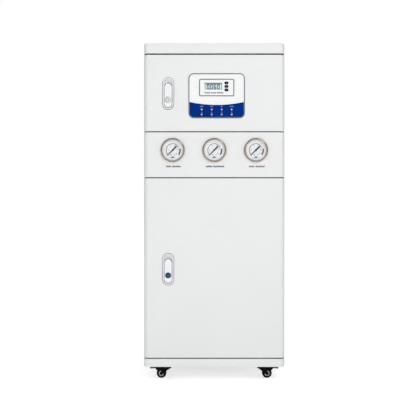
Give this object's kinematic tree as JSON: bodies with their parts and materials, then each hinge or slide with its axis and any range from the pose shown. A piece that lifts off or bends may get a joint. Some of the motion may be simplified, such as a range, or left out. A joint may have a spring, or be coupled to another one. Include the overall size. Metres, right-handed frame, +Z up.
{
  "type": "laboratory water purifier",
  "caption": "Floor-standing white sheet-metal laboratory water purifier on casters, with two locking doors, panel pressure gauges and a conductivity controller.",
  "frame": {"origin": "on the floor under the middle of the whole object's box", "axes": "+Z up, -Y towards the front with the doors, +X to the right seen from the front"},
  "size_m": [0.42, 0.5, 1.006],
  "materials": {
    "white_sheet": "powder-coated white",
    "bare_metal": "zinc-plated",
    "lock_body": "satin white lacquer",
    "lock_blue": "dark blue lacquer",
    "gauge_steel": "polished steel",
    "dial": "printed matt dial",
    "glass": "clear",
    "black_plastic": "fine matt",
    "black_metal": "black enamel",
    "rubber": "moulded",
    "white_plastic": "fine satin",
    "fascia_blue": "printed film",
    "key_navy": "moulded",
    "filter_blue": "moulded",
    "tube_blue": "extruded"
  },
  "bodies": {
    "cabinet": {"base_tray": "white_sheet", "top_cover": "white_sheet", "side_panel_left": "white_sheet", "side_panel_right": "white_sheet", "rear_panel": "white_sheet", "electronics_shelf": "bare_metal", "gauge_panel": "white_sheet", "lower_hinge_rod": "bare_metal", "upper_hinge_rod": "bare_metal", "gauge_1_case": "gauge_steel", "gauge_2_case": "gauge_steel", "gauge_3_case": "gauge_steel", "gauge_1_dial": "dial", "gauge_2_dial": "dial", "gauge_3_dial": "dial", "gauge_1_lens": "glass", "gauge_2_lens": "glass", "gauge_3_lens": "glass", "water_port_block": "black_plastic", "power_inlet": "black_plastic", "filter_manifold": "bare_metal", "filter_bowl_1": "filter_blue", "filter_bowl_2": "filter_blue", "filter_bowl_3": "filter_blue", "membrane_housing": "white_plastic", "resin_column": "white_plastic", "booster_pump": "black_metal", "power_supply": "bare_metal", "feed_tube": "tube_blue"},
    "lower_door": {"lower_door": "white_sheet", "lower_lock_pan": "lock_body"},
    "upper_door": {"upper_door": "white_sheet", "upper_lock_pan": "lock_body", "control_housing": "white_plastic", "display_module": "white_plastic", "display_window": "glass", "indicator_fascia": "fascia_blue"},
    "lower_paddle": {"lower_lock_paddle": "lock_body"},
    "upper_paddle": {"upper_lock_paddle": "lock_body"},
    "lower_latch": {"lower_key_cylinder": "lock_blue", "lower_lock_cam": "bare_metal"},
    "upper_latch": {"upper_key_cylinder": "bare_metal", "upper_lock_cam": "bare_metal"},
    "pointer_1": {"gauge_1_pointer": "black_plastic"},
    "pointer_2": {"gauge_2_pointer": "black_plastic"},
    "pointer_3": {"gauge_3_pointer": "black_plastic"},
    "key_up": {"key_up": "key_navy"},
    "key_set": {"key_set": "key_navy"},
    "key_down": {"key_down": "key_navy"},
    "main_switch": {"main_switch": "black_plastic"},
    "front_left_fork": {"front_left_caster_fork": "black_metal"},
    "front_right_fork": {"front_right_caster_fork": "black_metal"},
    "rear_left_fork": {"rear_left_caster_fork": "black_metal"},
    "rear_right_fork": {"rear_right_caster_fork": "black_metal"},
    "front_left_wheel": {"front_left_caster_wheel": "rubber"},
    "front_right_wheel": {"front_right_caster_wheel": "rubber"},
    "rear_left_wheel": {"rear_left_caster_wheel": "rubber"},
    "rear_right_wheel": {"rear_right_caster_wheel": "rubber"},
    "front_left_pedal": {"front_left_brake_pedal": "black_plastic"},
    "front_right_pedal": {"front_right_brake_pedal": "black_plastic"}
  },
  "joints": [
    {"name": "lower_door_hinge", "type": "hinge", "parent": "cabinet", "child": "lower_door", "pos_m": [0.196, -0.228, 0.3365], "axis": [0, 0, 1], "range_deg": [0, 110]},
    {"name": "upper_door_hinge", "type": "hinge", "parent": "cabinet", "child": "upper_door", "pos_m": [0.196, -0.228, 0.858], "axis": [0, 0, 1], "range_deg": [0, 110]},
    {"name": "lower_paddle_lift", "type": "hinge", "parent": "lower_door", "child": "lower_paddle", "pos_m": [-0.1376, -0.2423, 0.3027], "axis": [1, 0, 0], "range_deg": [0, 30], "stiffness_Nm_per_rad": 0.08, "springref_deg": -11.46},
    {"name": "upper_paddle_lift", "type": "hinge", "parent": "upper_door", "child": "upper_paddle", "pos_m": [-0.1376, -0.2423, 0.826], "axis": [1, 0, 0], "range_deg": [0, 30], "stiffness_Nm_per_rad": 0.08, "springref_deg": -11.46},
    {"name": "lower_key_turn", "type": "hinge", "parent": "lower_door", "child": "lower_latch", "pos_m": [-0.1376, -0.242, 0.3147], "axis": [0, 1, 0], "range_deg": [0, 90]},
    {"name": "upper_key_turn", "type": "hinge", "parent": "upper_door", "child": "upper_latch", "pos_m": [-0.1376, -0.242, 0.838], "axis": [0, 1, 0], "range_deg": [0, 90]},
    {"name": "pointer_1_turn", "type": "hinge", "parent": "cabinet", "child": "pointer_1", "pos_m": [-0.124, -0.242, 0.6878], "axis": [0, 1, 0], "range_deg": [0, 270], "stiffness_Nm_per_rad": 0.001, "springref_deg": -5.73},
    {"name": "pointer_2_turn", "type": "hinge", "parent": "cabinet", "child": "pointer_2", "pos_m": [0, -0.242, 0.6878], "axis": [0, 1, 0], "range_deg": [0, 270], "stiffness_Nm_per_rad": 0.001, "springref_deg": -5.73},
    {"name": "pointer_3_turn", "type": "hinge", "parent": "cabinet", "child": "pointer_3", "pos_m": [0.124, -0.242, 0.6878], "axis": [0, 1, 0], "range_deg": [0, 270], "stiffness_Nm_per_rad": 0.001, "springref_deg": -5.73},
    {"name": "key_up_press", "type": "slide", "parent": "upper_door", "child": "key_up", "axis": [0, 1, 0], "range_m": [0, 0.0006], "stiffness_N_per_m": 800, "springref_m": -0.0005},
    {"name": "key_set_press", "type": "slide", "parent": "upper_door", "child": "key_set", "axis": [0, 1, 0], "range_m": [0, 0.0006], "stiffness_N_per_m": 800, "springref_m": -0.0005},
    {"name": "key_down_press", "type": "slide", "parent": "upper_door", "child": "key_down", "axis": [0, 1, 0], "range_m": [0, 0.0006], "stiffness_N_per_m": 800, "springref_m": -0.0005},
    {"name": "main_switch_tip", "type": "hinge", "parent": "cabinet", "child": "main_switch", "pos_m": [0.12, 0.2253, 0.796], "axis": [1, 0, 0], "range_deg": [0, 16]},
    {"name": "front_left_swivel", "type": "hinge", "parent": "cabinet", "child": "front_left_fork", "pos_m": [-0.147, -0.197, 0.04], "axis": [0, 0, 1], "continuous": true},
    {"name": "front_right_swivel", "type": "hinge", "parent": "cabinet", "child": "front_right_fork", "pos_m": [0.147, -0.197, 0.04], "axis": [0, 0, 1], "continuous": true},
    {"name": "rear_left_swivel", "type": "hinge", "parent": "cabinet", "child": "rear_left_fork", "pos_m": [-0.147, 0.18, 0.04], "axis": [0, 0, 1], "continuous": true},
    {"name": "rear_right_swivel", "type": "hinge", "parent": "cabinet", "child": "rear_right_fork", "pos_m": [0.147, 0.18, 0.04], "axis": [0, 0, 1], "continuous": true},
    {"name": "front_left_roll", "type": "hinge", "parent": "front_left_fork", "child": "front_left_wheel", "pos_m": [-0.16, -0.197, 0.01471], "axis": [0, 1, 0], "continuous": true},
    {"name": "front_right_roll", "type": "hinge", "parent": "front_right_fork", "child": "front_right_wheel", "pos_m": [0.16, -0.197, 0.01471], "axis": [0, 1, 0], "continuous": true},
    {"name": "rear_left_roll", "type": "hinge", "parent": "rear_left_fork", "child": "rear_left_wheel", "pos_m": [-0.16, 0.18, 0.01471], "axis": [0, 1, 0], "continuous": true},
    {"name": "rear_right_roll", "type": "hinge", "parent": "rear_right_fork", "child": "rear_right_wheel", "pos_m": [0.16, 0.18, 0.01471], "axis": [0, 1, 0], "continuous": true},
    {"name": "front_left_brake", "type": "hinge", "parent": "front_left_fork", "child": "front_left_pedal", "pos_m": [-0.174, -0.197, 0.0285], "axis": [0, -1, 0], "range_deg": [0, 20]},
    {"name": "front_right_brake", "type": "hinge", "parent": "front_right_fork", "child": "front_right_pedal", "pos_m": [0.174, -0.197, 0.0285], "axis": [0, 1, 0], "range_deg": [0, 20]}
  ]
}
